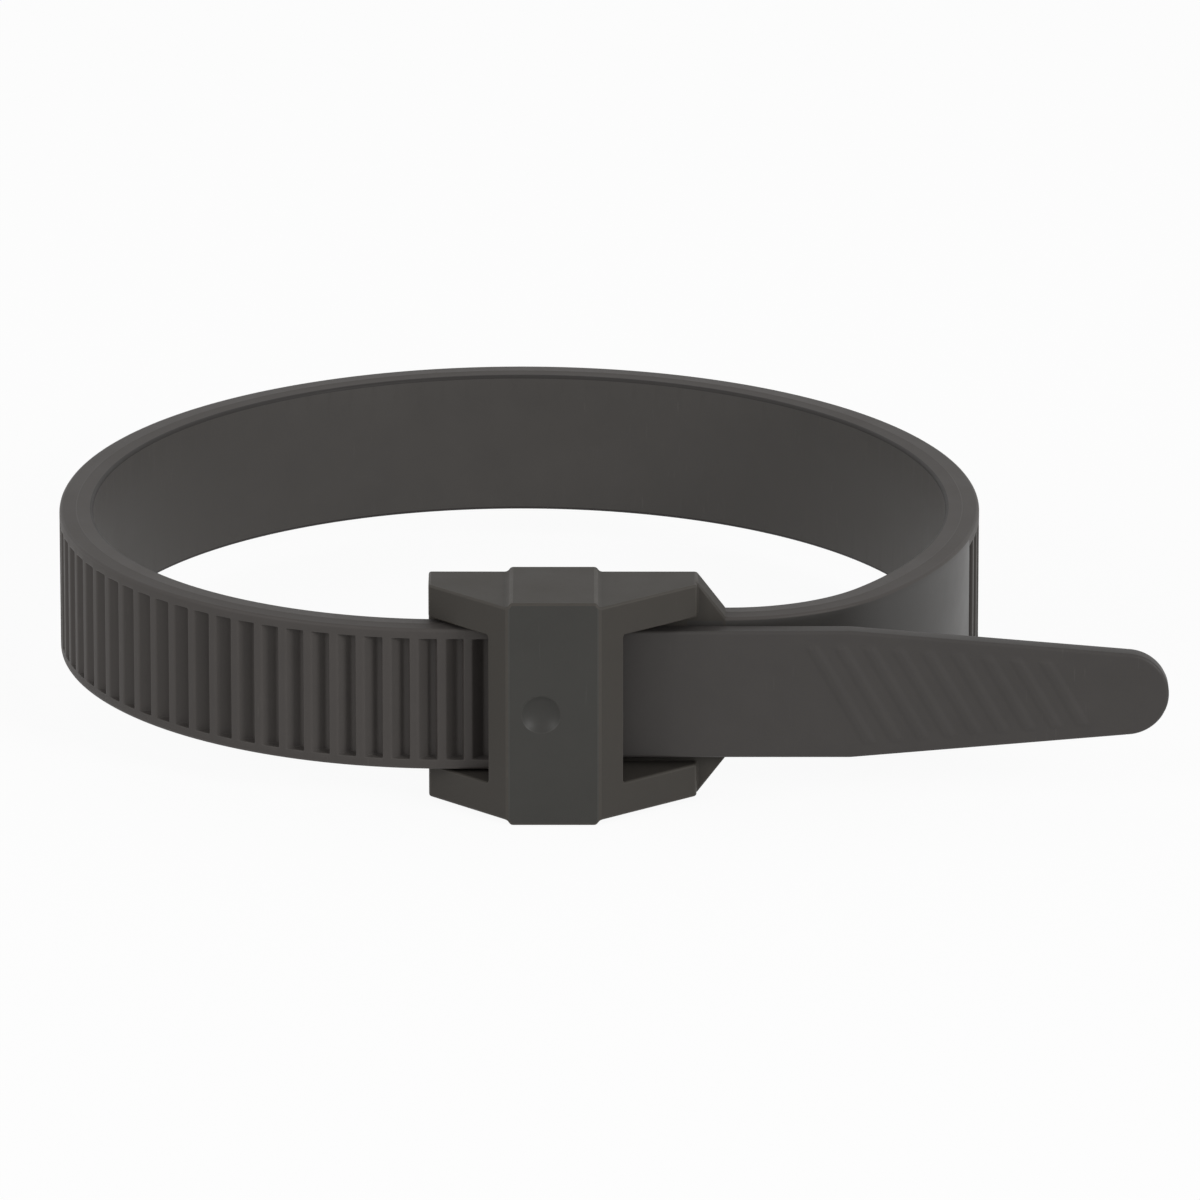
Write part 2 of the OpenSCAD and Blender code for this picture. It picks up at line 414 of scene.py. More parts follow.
@dataclass(frozen=True)
class Strap:
    """The toothed band, with a plain rail along each edge and a plain run beside the fixed end."""

    route: Route
    width: float = 9.0
    thickness: float = 2.1
    edge_r: float = 0.2
    pitch: float = 1.6
    depth: float = 0.65
    floor: float = 0.4
    ramp: float = 0.7
    rail: float = 0.65
    plain_run: float = 21.5
    plain_stations: int = 78
    plain_gap: float = 0.3
    parting: float = 0.02

    def tooth_profile(self) -> list[tuple[float, float]]:
        """Section of one tooth space, from its steep face back along the strap.

        Returns:
            Pairs of a distance back and a share of the full depth.
        """
        low, high = self.floor, self.floor + self.ramp
        return [
            (-0.09, 0.0),
            (-0.035, 0.012),
            (-0.005, 0.07),
            (0.012, 0.25),
            (0.035, 0.72),
            (0.05, 0.9),
            (0.085, 0.985),
            (0.14, 1.0),
            (low - 0.06, 1.0),
            (low + 0.01, 0.985),
            (low + 0.08, 0.91),
            ((low + high) / 2, 0.5),
            (high - 0.09, 0.115),
            (high - 0.03, 0.035),
            (high + 0.04, 0.006),
            (high + 0.11, 0.0),
        ]

    def stations(self) -> tuple[np.ndarray, np.ndarray, np.ndarray]:
        """Places of the sections along the strap.

        Returns:
            Distances along the centre line, the tooth depth at each, and which lie on teeth.
        """
        parts = self.route.lengths()
        last = sum(parts[:4]) + self.route.last_tooth_x + self.route.entry_run
        from_shoulder = last - parts[0]
        count = int((from_shoulder - self.plain_run) / self.pitch)
        profile = np.array(self.tooth_profile())
        back = (np.arange(count)[:, None] * self.pitch + profile[:, 0][None, :]).ravel()
        share = np.tile(profile[:, 1], count)
        first_tooth = last - back.max()
        plain = np.linspace(0.0, first_tooth - self.plain_gap, self.plain_stations)
        end = sum(parts)
        runs = np.concatenate([plain, (last - back)[::-1], [end]])
        depths = np.concatenate([np.zeros(len(plain)), share[::-1] * self.depth, [0.0]])
        toothed = np.concatenate([np.zeros(len(plain)), np.ones(len(back) + 1)])
        return runs, depths, toothed

    def section(self) -> np.ndarray:
        """Corners of the strap's section.

        Returns:
            One row for each corner: distance outwards, height, and how far it follows the teeth.
        """
        half_t, half_w, r = self.thickness / 2, self.width / 2, self.edge_r
        wall = half_w - self.rail
        rows = []

        def corner(sign_n: int, sign_z: int, start: float) -> None:
            """Adds the corners of one rounded edge, which turns through a right angle.

            Args:
                sign_n: 1 on the outer face and -1 on the inner one.
                sign_z: 1 on the upper edge and -1 on the lower one.
                start: Angle in degrees at which the rounding starts.
            """
            for step in range(5):
                a = math.radians(start + 22.5 * step)
                rows.append(
                    (
                        sign_n * (half_t - r) + r * math.cos(a),
                        sign_z * (half_w - r) + r * math.sin(a),
                        0.0,
                    )
                )

        corner(1, -1, -90.0)
        steps = [(-0.07, 0.0), (-0.02, 0.03), (0.0, 0.22), (0.03, 0.8), (0.07, 0.97), (0.13, 1.0)]
        rows += [(half_t, -wall + dz, c) for dz, c in steps]
        rows += [(half_t, z, 1.0) for z in (-wall / 2, 0.0, wall / 2)]
        rows += [(half_t, wall - dz, c) for dz, c in reversed(steps)]
        corner(1, 1, 0.0)
        rows += [(0.08, half_w, 0.0), (0.0, half_w + self.parting, 0.0), (-0.08, half_w, 0.0)]
        corner(-1, 1, 90.0)
        rows += [(-half_t, z, 0.0) for z in (wall / 2, 0.0, -wall / 2)]
        corner(-1, -1, 180.0)
        rows += [(-0.08, -half_w, 0.0), (0.0, -half_w - self.parting, 0.0), (0.08, -half_w, 0.0)]
        return np.array(rows)

    def build(self) -> Solid:
        """Sweeps the section along the route and lowers it into each tooth space.

        Returns:
            The closed band.
        """
        runs, depths, toothed = self.stations()
        section = self.section()
        points, out = self.route.place(runs)
        offset = section[None, :, 0] - section[None, :, 2] * depths[:, None]
        xy = points[:, None, :] + offset[:, :, None] * out[:, None, :]
        z = np.broadcast_to(section[None, :, 1], offset.shape)
        corners = np.concatenate([xy, z[:, :, None]], axis=2).reshape(-1, 3)
        around = len(section)
        band = Solid("band", corners, ring_faces(len(runs), around), Region.TOOTHED_BAND_PAINTED_LIGHT)
        near = self.thickness / 2 - 1e-6
        outer = section[:, 0] > near
        inner = section[:, 0] < -near
        low = section[:, 0] < self.edge_r - near
        glossy = (1 - toothed[:-1, None]) * (outer & np.roll(outer, -1))[None, :]
        index = np.full((len(runs) - 1, around), int(Region.TOOTHED_BAND_PAINTED_LIGHT))
        index[glossy > 0] = int(Region.PLAIN_BAND)
        # The inner roundings get a dark copy of the nylon: a painted shadow line along each inner
        # edge.
        index[:, low & np.roll(low, -1)] = int(Region.INNER_EDGE_PAINTED_SHADE)
        # The flat inner face gets a lighter copy of the nylon: painted light against the loop's own
        # shade.
        index[:, inner & np.roll(inner, -1)] = int(Region.INNER_BAND_PAINTED_LIGHT)
        caps = [int(Region.TOOTHED_BAND_PAINTED_LIGHT)] * 2
        band.obj.data.polygons.foreach_set("material_index", index.ravel().tolist() + caps)
        return band


@dataclass(frozen=True)
class Tail:
    """Thin pointed tail, with shallow grip ribs that lean across both faces."""

    inner_y: float = -22.57
    start_x: float = 3.65
    step_run: float = 1.4
    strap_width: float = 9.0
    strap_thickness: float = 2.1
    width: float = 8.1
    thickness: float = 1.2
    taper_x: float = 20.3
    tip_x: float = 37.0
    tip_r: float = 2.6
    edge_r: float = 0.2
    rib_count: int = 9
    rib_pitch: float = 1.7
    rib_w: float = 0.7
    rib_h: float = 0.08
    rib_lean: float = 30.0
    rib_x: float = 19.7
    rib_border: float = 0.9
    rib_soft: float = 0.26
    swell: float = 0.005
    coarse_end: float = 16.6
    fine_start: float = 16.7
    fine_step: float = 0.115

    @property
    def taper(self) -> float:
        """Angle between the tapered edges and the strap's line."""
        length, half = self.tip_x - self.taper_x, self.width / 2
        return math.acos(self.tip_r / math.hypot(length, half)) - math.atan2(length, half)

    def stations(self) -> np.ndarray:
        """Places of the sections along the tail.

        Returns:
            Places that lie close together at the ribs and round the tip.
        """
        rim = np.linspace(0.0, math.pi / 2, 7)
        reach = self.tip_x + self.tip_r - self.edge_r * (1 - np.cos(rim))
        touch = self.tip_x + self.tip_r * math.sin(self.taper)
        round_turn = np.linspace(self.taper, math.radians(58.0), 14)
        round_end = self.tip_x + self.tip_r * np.sin(round_turn)
        ribs_end = self.rib_x + self.rib_count * self.rib_pitch + 2.0
        return np.unique(
            np.round(
                np.concatenate(
                    [
                        [self.start_x - 0.3, self.start_x],
                        np.linspace(self.start_x, self.start_x + self.step_run, 6),
                        np.linspace(self.start_x + self.step_run, self.coarse_end, 14),
                        np.arange(self.fine_start, ribs_end, self.fine_step),
                        [self.taper_x],
                        np.linspace(ribs_end, touch, 6),
                        round_end,
                        reach,
                    ]
                ),
                5,
            )
        )

    def half_width(self, x: np.ndarray) -> np.ndarray:
        """Half the tail's width.

        Args:
            x: Places along the tail.

        Returns:
            Half widths, down to 0 at the very tip.
        """
        step = smooth_step(self.start_x, self.start_x + self.step_run, x)
        plain = self.strap_width / 2 + self.swell + (self.width / 2 - self.strap_width / 2) * step
        slope = self.width / 2 - (x - self.taper_x) * math.tan(self.taper)
        past = np.clip((x - self.tip_x) / self.tip_r, -1.0, 1.0)
        tip = self.tip_r * np.sqrt(1 - past**2)
        touch = self.tip_x + self.tip_r * math.sin(self.taper)
        return np.where(x > touch, tip, np.minimum(plain, slope))

    def inset(self, x: np.ndarray, z: np.ndarray) -> np.ndarray:
        """Distance of places on the face from the tail's outline.

        Args:
            x: Places along the tail.
            z: Heights.

        Returns:
            Distances inwards, 0 on the outline.
        """
        half = self.half_width(x)
        lean = np.where(x > self.taper_x, math.cos(self.taper), 1.0)
        side = (half - np.abs(z)) * lean
        ball = self.tip_r - np.hypot(x - self.tip_x, z)
        return np.clip(np.where(x > self.tip_x, ball, side), 0.0, None)

    def ribs(self, x: np.ndarray, z: np.ndarray) -> np.ndarray:
        """Height of the grip ribs over the face.

        Args:
            x: Places along the tail.
            z: Heights.

        Returns:
            Heights in millimetres.
        """
        lean = math.radians(self.rib_lean)
        along = (x - self.rib_x + z * math.tan(lean)) * math.cos(lean)
        spacing = self.rib_pitch * math.cos(lean)
        number = np.clip(np.round(along / spacing), 0, self.rib_count - 1)
        away = np.abs(along - number * spacing)
        crest, foot = self.rib_w / 2 - self.rib_soft, self.rib_w / 2 + self.rib_soft / 2
        ridge = 1 - smooth_step(crest, foot, away)
        border = smooth_step(self.rib_border - 0.1, self.rib_border + 0.1, self.inset(x, z))
        return self.rib_h * ridge * border

    def build(self) -> Solid:
        """Lays both faces of the tail out as one grid and closes them round the outline.

        Returns:
            The closed tail.
        """
        x = self.stations()
        half = self.half_width(x)
        half[-1] = 0.0
        arc = np.linspace(0.0, math.pi / 2, 6)
        rim = self.edge_r * (1 - np.cos(arc))
        inner = np.linspace(-1.0, 1.0, 39)[1:-1]
        shrink = np.clip(half / 1.1, 0.0, 1.0)[:, None]
        low = -half[:, None] + rim[None, :] * shrink
        middle = (half[:, None] - self.edge_r * shrink) * inner[None, :]
        z = np.concatenate([low, middle, -low[:, ::-1]], axis=1)
        across = z.shape[1]
        grid_x = np.broadcast_to(x[:, None], z.shape)
        inset = self.inset(grid_x, z)
        inset[:, 0] = 0.0
        inset[:, -1] = 0.0
        drop = self.edge_r - np.sqrt(
            np.clip(self.edge_r**2 - np.clip(self.edge_r - inset, 0.0, None) ** 2, 0.0, None)
        )
        step = 1 - smooth_step(self.start_x, self.start_x + self.step_run, grid_x)
        extra = (self.strap_thickness - self.thickness) * step
        rib = self.ribs(grid_x, z)
        near = self.inner_y + self.swell - drop + rib
        far = self.inner_y - self.thickness - extra - self.swell + drop - rib
        inner_face = np.stack([grid_x, near, z], axis=2)
        outer_face = np.stack([grid_x, far, z], axis=2)[:, ::-1]
        corners = np.concatenate([inner_face, outer_face], axis=1).reshape(-1, 3)
        return Solid("tail", corners, ring_faces(len(x), 2 * across), Region.TAIL)


# head


@dataclass(frozen=True)
class Head:
    """Floor, two side walls and the bridge that the strap passes under, with the pawl inside."""

    seat_y: float = -20.32
    bridge_x: float = 2.2
    height: float = 13.6
    depth: float = 7.25
    bridge_flat: float = 5.6
    floor_entry: float = 7.6
    floor_exit: float = 8.7
    floor: float = 2.1
    wall_out: float = 0.6
    shoulder: float = 1.9
    roof: float = 1.15
    channel: float = 9.4
    pad_h: float = 0.3
    pad_run: float = 0.2
    lead_in: float = 0.4
    strap_width: float = 9.0
    strap_edge: float = 0.2
    edge_r: float = 0.15
    dimple_depth: float = 0.45
    dimple_r: float = 1.2
    dimple_x: float = 0.75

    @property
    def start_x(self) -> float:
        """The end that the strap enters."""
        return self.bridge_x - self.floor_entry

    @property
    def end_x(self) -> float:
        """The end that the strap is fixed to."""
        return self.bridge_x + self.floor_exit

    def block(self) -> Solid:
        """Draws the plan of the head.

        Returns:
            The plan, as high as the side walls.
        """
        half = self.bridge_flat / 2
        y = self.seat_y
        outline = [
            (self.start_x, y),
            (self.start_x, y - self.floor - self.wall_out),
            (self.bridge_x - half, y - self.depth),
            (self.bridge_x + half, y - self.depth),
            (self.end_x, y - self.floor - self.wall_out),
            (self.end_x, y),
        ]
        return plate("head_block", outline, -self.height / 2, self.height / 2, "z")

    def pad(self, side: int) -> Solid:
        """Raised pad on one end of the bridge.

        Args:
            side: 1 for the upper end and -1 for the lower one.

        Returns:
            The pad, sunk a little into the side wall.
        """
        half, top = self.bridge_flat / 2, self.height / 2
        outline = [
            (self.bridge_x - half, side * (top - 0.5)),
            (self.bridge_x + half, side * (top - 0.5)),
            (self.bridge_x + half, side * top),
            (self.bridge_x + half - self.pad_run, side * (top + self.pad_h)),
            (self.bridge_x - half + self.pad_run, side * (top + self.pad_h)),
            (self.bridge_x - half, side * top),
        ]
        return plate("pad", outline, self.seat_y - self.depth, self.seat_y, "y")

    def neck(self) -> Solid:
        """Draws the shoulder between the head and the strap.

        Returns:
            A plate that narrows from the head's height to the strap's width.
        """
        top, narrow = self.height / 2, self.strap_width / 2 - self.strap_edge
        outline = [
            (self.end_x - 0.5, -top),
            (self.end_x, -top),
            (self.end_x + self.shoulder, -narrow),
            (self.end_x + self.shoulder, narrow),
            (self.end_x, top),
            (self.end_x - 0.5, top),
        ]
        return plate("neck", outline, self.seat_y - self.floor, self.seat_y, "y")

    def passage(self) -> Solid:
        """Draws the space that the strap runs through.

        Returns:
            The space with its lead-in, longer than the head at both ends.
        """
        reach = 1.0
        y = self.seat_y
        outline = [
            (self.start_x - reach, y - self.depth + self.roof),
            (self.end_x + reach, y - self.depth + self.roof),
            (self.end_x + reach, y - self.floor),
            (self.start_x + self.lead_in, y - self.floor),
            (self.start_x - reach, y - self.floor + self.lead_in + reach),
        ]
        return plate("passage", outline, -self.channel / 2, self.channel / 2, "z")

    def dimple(self) -> Solid:
        """Draws the ball that leaves the round dimple.

        Returns:
            The ball, which dips into the bridge's front.
        """
        ball_r = (self.dimple_r**2 + self.dimple_depth**2) / (2 * self.dimple_depth)
        front = self.seat_y - self.depth
        centre = (self.bridge_x - self.dimple_x, front - ball_r + self.dimple_depth, 0.0)
        return ball("dimple", centre, ball_r, Region.DIMPLE)

    def build(self) -> Solid:
        """Puts the head together and softens its edges.

        Returns:
            The closed head without its pawl.
        """
        head = self.block()
        for side in (1, -1):
            head.combine(self.pad(side), Cut.JOIN)
        head.combine(self.neck(), Cut.JOIN)
        head.combine(self.passage(), Cut.REMOVE)
        head.merge_flat_faces()
        head.soften_edges(self.edge_r, 3, 20.0)
        head.clean()
        # Painted shade: the bridge's flat front gets a darker, cooler copy of the head's nylon.
        head.paint(Region.BRIDGE_FRONT_PAINTED_SHADE, 1, self.seat_y - self.depth)
        head.combine(self.dimple(), Cut.REMOVE)
        return head


@dataclass(frozen=True)
class Pawl:
    """Springy tongue under the bridge, whose teeth hold the strap's."""

    seat_y: float = -20.32
    width: float = 7.2
    back: float = 0.95
    teeth: int = 3
    pitch: float = 1.6
    tooth_depth: float = 0.65
    floor: float = 0.4
    ramp: float = 0.7
    gap: float = 0.1
    last_x: float = 3.15
    root_x: float = -0.95
    root_length: float = 1.1
    root_height: float = 0.2
    back_length: float = 0.3
    roof_depth: float = 6.1
    strap_out: float = 4.35

    def build(self) -> Solid:
        """Draws the tongue with its teeth as one outline and gives it its width.

        Returns:
            The closed pawl.
        """
        teeth_d = self.strap_out + self.gap
        slope = self.ramp / self.tooth_depth
        first_x = self.last_x - (self.teeth - 1) * self.pitch
        tip = self.last_x - self.gap
        outline = [
            (self.root_x, -self.roof_depth - 0.1),
            (self.root_x + self.root_length, -self.roof_depth - 0.1),
            (first_x - self.back_length, -teeth_d - self.back),
            (tip, -teeth_d - self.back),
            (tip, -teeth_d),
        ]
        for i in range(self.teeth):
            x = tip - i * self.pitch
            flat = self.floor - 2 * self.gap
            outline += [
                (x, -teeth_d + self.tooth_depth),
                (x - flat, -teeth_d + self.tooth_depth),
                (x - flat - slope * self.tooth_depth, -teeth_d),
            ]
            if i < self.teeth - 1:
                outline.append((x - self.pitch, -teeth_d))
        outline.append((first_x - self.pitch, -teeth_d))
        outline.append((self.root_x, self.root_height - self.roof_depth))
        placed = [(x, y + self.seat_y) for x, y in outline]
        pawl = plate("pawl", placed, -self.width / 2, self.width / 2, "z")
        pawl.soften_edges(0.05, 2, 25.0)
        pawl.clean()
        return pawl


def ball(
    name: str, centre: Sequence[float], radius: float, region: Region, rings: int = 48
) -> Solid:
    """A ball of even rings.

    Args:
        name: Name of the object.
        centre: Its centre.
        radius: Its radius.
        region: Its finish.
        rings: Number of rings from pole to pole, and half the number of corners round each.

    Returns:
        The closed ball, with its poles along Y.
    """
    around = 2 * rings
    rows = []
    for i in range(1, rings):
        tilt = math.pi * i / rings
        for j in range(around):
            turn = 2 * math.pi * j / around
            flat = radius * math.sin(tilt)
            rows.append(
                (
                    centre[0] + flat * math.cos(turn),
                    centre[1] + radius * math.cos(tilt),
                    centre[2] + flat * math.sin(turn),
                )
            )
    return Solid(name, np.array(rows), ring_faces(rings - 1, around), region)


# finishes


class Effects:
    """Shader node groups that the finishes share. Each puts out values for one effect."""

    made: dict[str, bpy.types.NodeTree] = {}

    @classmethod
    def start(
        cls, name: str, inputs: dict[str, float | None], outputs: Sequence[str]
    ) -> bpy.types.NodeTree:
        """Makes an empty group with its sockets.

        Args:
            name: Name of the group.
            inputs: Name of each input and its value, or None for a place in space.
            outputs: Names of the outputs, all single values.

        Returns:
            The group's node tree.
        """
        tree = bpy.data.node_groups.new(name, "ShaderNodeTree")
        for label, value in inputs.items():
            kind = "NodeSocketVector" if value is None else "NodeSocketFloat"
            socket = tree.interface.new_socket(label, in_out="INPUT", socket_type=kind)
            if value is not None:
                socket.default_value = value
        for label in outputs:
            tree.interface.new_socket(label, in_out="OUTPUT", socket_type="NodeSocketFloat")
        tree.nodes.new("NodeGroupInput").name = "in"
        tree.nodes.new("NodeGroupOutput").name = "out"
        cls.made[name] = tree
        return tree

    @staticmethod
    def math_node(
        tree: bpy.types.NodeTree,
        operation: str,
        first: object,
        second: object = None,
        clamp: bool = False,
    ) -> bpy.types.NodeSocket:
        """Adds a Math node.

        Args:
            tree: The tree that gets it.
            operation: Blender's name for the operation.
            first: A socket or a number.
            second: A socket or a number, where the operation has two.
            clamp: Whether the result is held between 0 and 1.

        Returns:
            The node's output.
        """
        node = tree.nodes.new("ShaderNodeMath")
        node.operation = operation
        node.use_clamp = clamp
        for slot_in, value in zip(node.inputs, (first, second)):
            if isinstance(value, bpy.types.NodeSocket):
                tree.links.new(value, slot_in)
            elif value is not None:
                slot_in.default_value = value
        return node.outputs[0]

    @staticmethod
    def noise(
        tree: bpy.types.NodeTree,
        place: bpy.types.NodeSocket,
        scale: object,
        detail: float,
        rough: float,
    ) -> bpy.types.NodeSocket:
        """Adds a noise texture.

        Args:
            tree: The tree that gets it.
            place: Where the noise is read.
            scale: A socket or a number.
            detail: Number of finer layers.
            rough: Strength of the finer layers.

        Returns:
            The noise's value.
        """
        node = tree.nodes.new("ShaderNodeTexNoise")
        tree.links.new(place, node.inputs["Vector"])
        if isinstance(scale, bpy.types.NodeSocket):
            tree.links.new(scale, node.inputs["Scale"])
        else:
            node.inputs["Scale"].default_value = scale
        node.inputs["Detail"].default_value = detail
        node.inputs["Roughness"].default_value = rough
        return node.outputs["Fac"]

    @classmethod
    def grain(cls) -> bpy.types.NodeTree:
        """Spark-eroded grain: fine pits under a softer unevenness.

        Returns:
            A group with Place, Grain and Unevenness, which puts out Height and Mottle.
        """
        if "spark_grain" in cls.made:
            return cls.made["spark_grain"]
        sockets = {"Place": None, "Grain": 0.09, "Unevenness": 0.35}
        tree = cls.start("spark_grain", sockets, ["Height", "Mottle"])
        given, out = tree.nodes["in"].outputs, tree.nodes["out"].inputs
        fine_scale = cls.math_node(tree, "DIVIDE", 1.0 / MM, given["Grain"])
        wide_scale = cls.math_node(tree, "DIVIDE", fine_scale, 9.0)
        fine = cls.noise(tree, given["Place"], fine_scale, 2.0, 0.55)
        wide = cls.noise(tree, given["Place"], wide_scale, 3.0, 0.5)
        soft = cls.math_node(tree, "MULTIPLY", wide, given["Unevenness"])
        height = cls.math_node(tree, "ADD", fine, soft)
        mottle = cls.noise(tree, given["Place"], 1.0 / (2.6 * MM), 4.0, 0.6)
        tree.links.new(height, out["Height"])
        tree.links.new(mottle, out["Mottle"])
        return tree

    @classmethod
    def worn_edges_and_sheen(cls) -> bpy.types.NodeTree:
        """Worn edges and dull recesses, from how far the surface stands out. The edge mask stands for
        real wear and for a painted highlight along each rounding.

        Returns:
            A group with Place, Reach and Breakup, which puts out Rubbed and Recess.
        """
        if "worn_edges_and_sheen_group" in cls.made:
            return cls.made["worn_edges_and_sheen_group"]
        sockets = {"Place": None, "Reach": 0.8, "Breakup": 0.5}
        tree = cls.start("worn_edges_and_sheen_group", sockets, ["Rubbed", "Recess"])
        given, out = tree.nodes["in"].outputs, tree.nodes["out"].inputs
        stored = tree.nodes.new("ShaderNodeAttribute")
        stored.attribute_name = WEAR
        over = stored.outputs["Fac"]
        edge = cls.math_node(tree, "DIVIDE", over, given["Reach"], clamp=True)
        worn = cls.noise(tree, given["Place"], 1.0 / (0.5 * MM), 3.0, 0.6)
        thin = cls.math_node(tree, "MULTIPLY", worn, given["Breakup"])
        keep = cls.math_node(tree, "SUBTRACT", 1.0, thin)
        worn_edge_and_sheen_lift = cls.math_node(tree, "MULTIPLY", edge, keep, clamp=True)
        under = cls.math_node(tree, "MULTIPLY", over, -1.0)
        recess = cls.math_node(tree, "DIVIDE", under, given["Reach"], clamp=True)
        tree.links.new(worn_edge_and_sheen_lift, out["Rubbed"])
        tree.links.new(recess, out["Recess"])
        return tree

    @classmethod
    def scuffs(cls) -> bpy.types.NodeTree:
        """Fine handling scratches, drawn out along the strap's width.

        Returns:
            A group with Place and Amount, which puts out Scratch.
        """
        if "handling_scuffs" in cls.made:
            return cls.made["handling_scuffs"]
        tree = cls.start("handling_scuffs", {"Place": None, "Amount": 0.5}, ["Scratch"])
        given, out = tree.nodes["in"].outputs, tree.nodes["out"].inputs
        turn = tree.nodes.new("ShaderNodeMapping")
        turn.inputs["Rotation"].default_value = (0.3, 0.5, 0.9)
        turn.inputs["Scale"].default_value = (1.0, 1.0, 0.08)
        tree.links.new(given["Place"], turn.inputs["Vector"])
        lines = cls.noise(tree, turn.outputs["Vector"], 1.0 / (0.16 * MM), 2.0, 0.5)
        patch = cls.noise(tree, given["Place"], 1.0 / (6.0 * MM), 2.0, 0.5)
        thin = cls.math_node(tree, "SUBTRACT", lines, 0.66)
        thin = cls.math_node(tree, "MULTIPLY", thin, 9.0, clamp=True)
        where = cls.math_node(tree, "SUBTRACT", patch, 0.5)
        where = cls.math_node(tree, "MULTIPLY", where, 5.0, clamp=True)
        both = cls.math_node(tree, "MULTIPLY", thin, where)
        tree.links.new(cls.math_node(tree, "MULTIPLY", both, given["Amount"]), out["Scratch"])
        return tree


@dataclass(frozen=True)
class MouldedNylon:
    """Finish of one region of the moulding."""

    name: str
    colour: tuple[float, float, float]
    roughness: float
    grain: float
    grain_height: float
    unevenness: float = 0.35
    mottle: float = 0.1
    # Lift of the roundings' colour: real wear and a painted highlight along the edges.
    worn_edge_and_sheen_lift: float = 0.25
    scuffs: float = 0.4
    wear_reach: float = 0.8
    breakup: float = 0.6
    polish: float = 0.1
    dulling: float = 0.12
    gloss_spread: float = 0.16
    ior: float = 1.32

    def group(
        self, tree: bpy.types.NodeTree, made: bpy.types.NodeTree, **values: float
    ) -> bpy.types.Node:
        """Places an effect in the material with this finish's own values.

        Args:
            tree: The material's node tree.
            made: The effect's group.
            values: Value of each input, by its name in small letters.

        Returns:
            The group's node.
        """
        node = tree.nodes.new("ShaderNodeGroup")
        node.node_tree = made
        for label, value in values.items():
            node.inputs[label.capitalize()].default_value = value
        return node

    def build(self) -> bpy.types.Material:
        """Makes the material.

        Returns:
            A procedural material with this finish's colour, gloss and grain.
        """
        material = bpy.data.materials.new(self.name)
        material.use_nodes = True
        tree = material.node_tree
        nodes, links = tree.nodes, tree.links
        shader = nodes["Principled BSDF"]
        place = nodes.new("ShaderNodeTexCoord").outputs["Object"]
        grain = self.group(tree, Effects.grain(), grain=self.grain, unevenness=self.unevenness)
        worn_edges_and_sheen = self.group(tree, Effects.worn_edges_and_sheen(), reach=self.wear_reach, breakup=self.breakup)
        scuffs = self.group(tree, Effects.scuffs(), amount=self.scuffs)
        for node in (grain, worn_edges_and_sheen, scuffs):
            links.new(place, node.inputs["Place"])

        tone = Effects.math_node(tree, "SUBTRACT", grain.outputs["Mottle"], 0.5)
        tone = Effects.math_node(tree, "MULTIPLY", tone, self.mottle * 2)
        # Roundings are lightened: partly real wear, partly a painted highlight along the edges.
        lift = Effects.math_node(tree, "MULTIPLY", worn_edges_and_sheen.outputs["Rubbed"], self.worn_edge_and_sheen_lift)
        tone = Effects.math_node(tree, "ADD", tone, lift)
        tone = Effects.math_node(tree, "ADD", tone, scuffs.outputs["Scratch"])
        bright = Effects.math_node(tree, "ADD", tone, 1.0)
        colour = nodes.new("ShaderNodeMix")
        colour.data_type = "RGBA"
        colour.blend_type = "MULTIPLY"
        colour.inputs["Factor"].default_value = 1.0
        colour.inputs["A"].default_value = (*self.colour, 1.0)
        links.new(bright, colour.inputs["B"])
        links.new(colour.outputs["Result"], shader.inputs["Base Color"])

        rough = Effects.math_node(tree, "MULTIPLY", grain.outputs["Mottle"], self.gloss_spread)
        rough = Effects.math_node(tree, "ADD", rough, self.roughness - self.gloss_spread / 2)
        smooth = Effects.math_node(tree, "MULTIPLY", worn_edges_and_sheen.outputs["Rubbed"], self.polish)
        rough = Effects.math_node(tree, "SUBTRACT", rough, smooth)
        dull = Effects.math_node(tree, "MULTIPLY", worn_edges_and_sheen.outputs["Recess"], self.dulling)
        rough = Effects.math_node(tree, "ADD", rough, dull, clamp=True)
        links.new(rough, shader.inputs["Roughness"])

        bump = nodes.new("ShaderNodeBump")
        bump.inputs["Strength"].default_value = 1.0
        bump.inputs["Distance"].default_value = self.grain_height * MM
        links.new(grain.outputs["Height"], bump.inputs["Height"])
        links.new(bump.outputs["Normal"], shader.inputs["Normal"])
        shader.inputs["IOR"].default_value = self.ior
        return material


